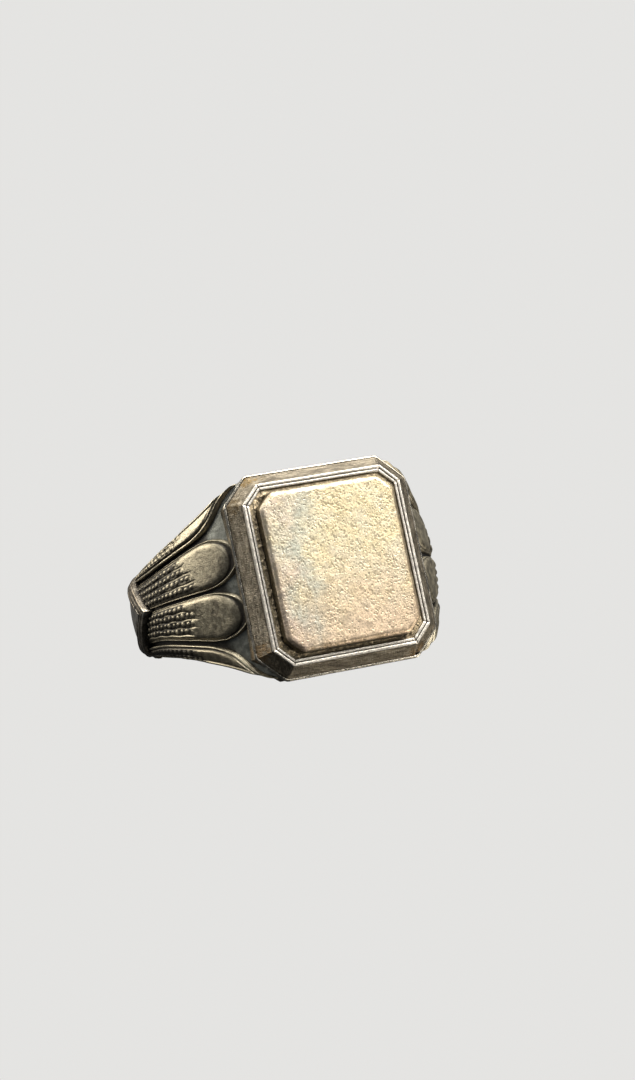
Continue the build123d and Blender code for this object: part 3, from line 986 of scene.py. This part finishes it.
def pale_floor():
    """A plain floor well below the ring, which is seen from underneath; it fades into the backdrop."""
    floor_z, reach = -52, 300
    corners = [(-reach, -reach), (reach, -reach), (reach, reach), (-reach, reach)]
    mesh = bpy.data.meshes.new("floor")
    mesh.from_pydata([(x * MM, y * MM, floor_z * MM) for x, y in corners], [], [(0, 1, 2, 3)])
    floor = bpy.data.objects.new("floor", mesh)
    bpy.context.scene.collection.objects.link(floor)
    for unseen_by in ("visible_glossy", "visible_diffuse", "visible_shadow"):
        setattr(floor, unseen_by, False)
    shader = Shader("pale_floor")
    shade = shader.ramp(shader.shelter(70), 0.5, 1.0, 0.55, 1.0)
    lit = shader.add("ShaderNodeEmission")
    shader.put(pale, lit.inputs["Color"])
    shader.put(shade, lit.inputs["Strength"])
    clear = shader.add("ShaderNodeBsdfTransparent")
    away = shader.add("ShaderNodeVectorMath", operation="LENGTH")
    shader.join(shader.place, away.inputs[0])
    fade = shader.ramp(away.outputs["Value"], 0.45 * reach, 0.95 * reach)
    mixed = shader.add("ShaderNodeMixShader")
    shader.put(fade, mixed.inputs[0])
    shader.join(lit.outputs[0], mixed.inputs[1])
    shader.join(clear.outputs[0], mixed.inputs[2])
    shader.join(mixed.outputs[0], shader.tree.nodes["Material Output"].inputs["Surface"])
    mesh.materials.append(shader.material)


def studio_world():
    """A pale backdrop to the camera, and a dim room to the metal, brighter overhead."""
    world = bpy.data.worlds.new("studio")
    bpy.context.scene.world = world
    world.use_nodes = True
    tree = world.node_tree
    backdrop = tree.nodes["Background"]
    backdrop.inputs["Color"].default_value = pale
    room = tree.nodes.new("ShaderNodeBackground")
    room.inputs["Color"].default_value = rgb(0.86, 0.9, 0.95)
    direction = tree.nodes.new("ShaderNodeTexCoord")
    parts = tree.nodes.new("ShaderNodeSeparateXYZ")
    height = tree.nodes.new("ShaderNodeMapRange")
    for label, value in (("From Min", -0.35), ("From Max", 1), ("To Min", 0.03), ("To Max", 0.3)):
        height.inputs[label].default_value = value
    tree.links.new(direction.outputs["Generated"], parts.inputs[0])
    tree.links.new(parts.outputs["Z"], height.inputs["Value"])
    tree.links.new(height.outputs["Result"], room.inputs["Strength"])
    path = tree.nodes.new("ShaderNodeLightPath")
    mix = tree.nodes.new("ShaderNodeMixShader")
    tree.links.new(path.outputs["Is Camera Ray"], mix.inputs[0])
    tree.links.new(room.outputs[0], mix.inputs[1])
    tree.links.new(backdrop.outputs[0], mix.inputs[2])
    tree.links.new(mix.outputs[0], tree.nodes["World Output"].inputs["Surface"])


def soft_light(name, azimuth, elevation, size, power, colour):
    """A square soft box half a metre from the ring. Azimuth 0 faces the plate, positive is to its right."""
    distance = 0.5
    light = bpy.data.lights.new(name, "AREA")
    light.shape = "SQUARE"
    light.size = size
    light.energy = power
    light.color = colour
    lamp = bpy.data.objects.new(name, light)
    a, e = radians(azimuth), radians(elevation)
    direction = Vector((sin(a) * cos(e), -cos(a) * cos(e), sin(e)))
    lamp.location = direction * distance
    lamp.rotation_mode = "QUATERNION"
    lamp.rotation_quaternion = direction.to_track_quat("Z", "Y")
    lamp.visible_camera = False
    bpy.context.scene.collection.objects.link(lamp)


def camera():
    """Looks at the plate from its left and a little below, rolled as the ring sits."""
    distance, view_width = 226.1, 46.62  # millimetres, the width measured at the target
    yaw, elevation, roll = radians(21.5), radians(-6), radians(-12)
    aside, down = 1.465, -1.782
    target = Vector((0, -rim_depth, 0))
    back = Vector((-sin(yaw) * cos(elevation), -cos(yaw) * cos(elevation), sin(elevation)))
    right = (-back).cross(Vector((0, 0, 1))).normalized()
    up = right.cross(-back)
    rolled_right = right * cos(roll) + up * sin(roll)
    rolled_up = up * cos(roll) - right * sin(roll)
    place = target + back * distance - rolled_right * aside - rolled_up * down
    data = bpy.data.cameras.new("camera")
    data.sensor_width = 36
    data.sensor_fit = "HORIZONTAL"
    data.lens = data.sensor_width * distance / view_width
    data.clip_start = 0.01
    seen_from = bpy.data.objects.new("camera", data)
    turn = Matrix((rolled_right, rolled_up, back)).transposed().to_4x4()
    seen_from.matrix_world = Matrix.Translation(place * MM) @ turn
    bpy.context.scene.collection.objects.link(seen_from)
    bpy.context.scene.camera = seen_from


pale_floor()
studio_world()
soft_light("key", 40, 36, 0.32, 3.1, (1.0, 0.96, 0.9))
soft_light("top", 20, 68, 0.3, 3.2, (1.0, 0.97, 0.92))
soft_light("left_rear", -112, 40, 0.3, 2.0, (1.0, 0.94, 0.84))
soft_light("bounce", 62, -40, 0.3, 1.3, (1.0, 0.93, 0.82))
camera()
bpy.context.scene.view_settings.view_transform = "Standard"
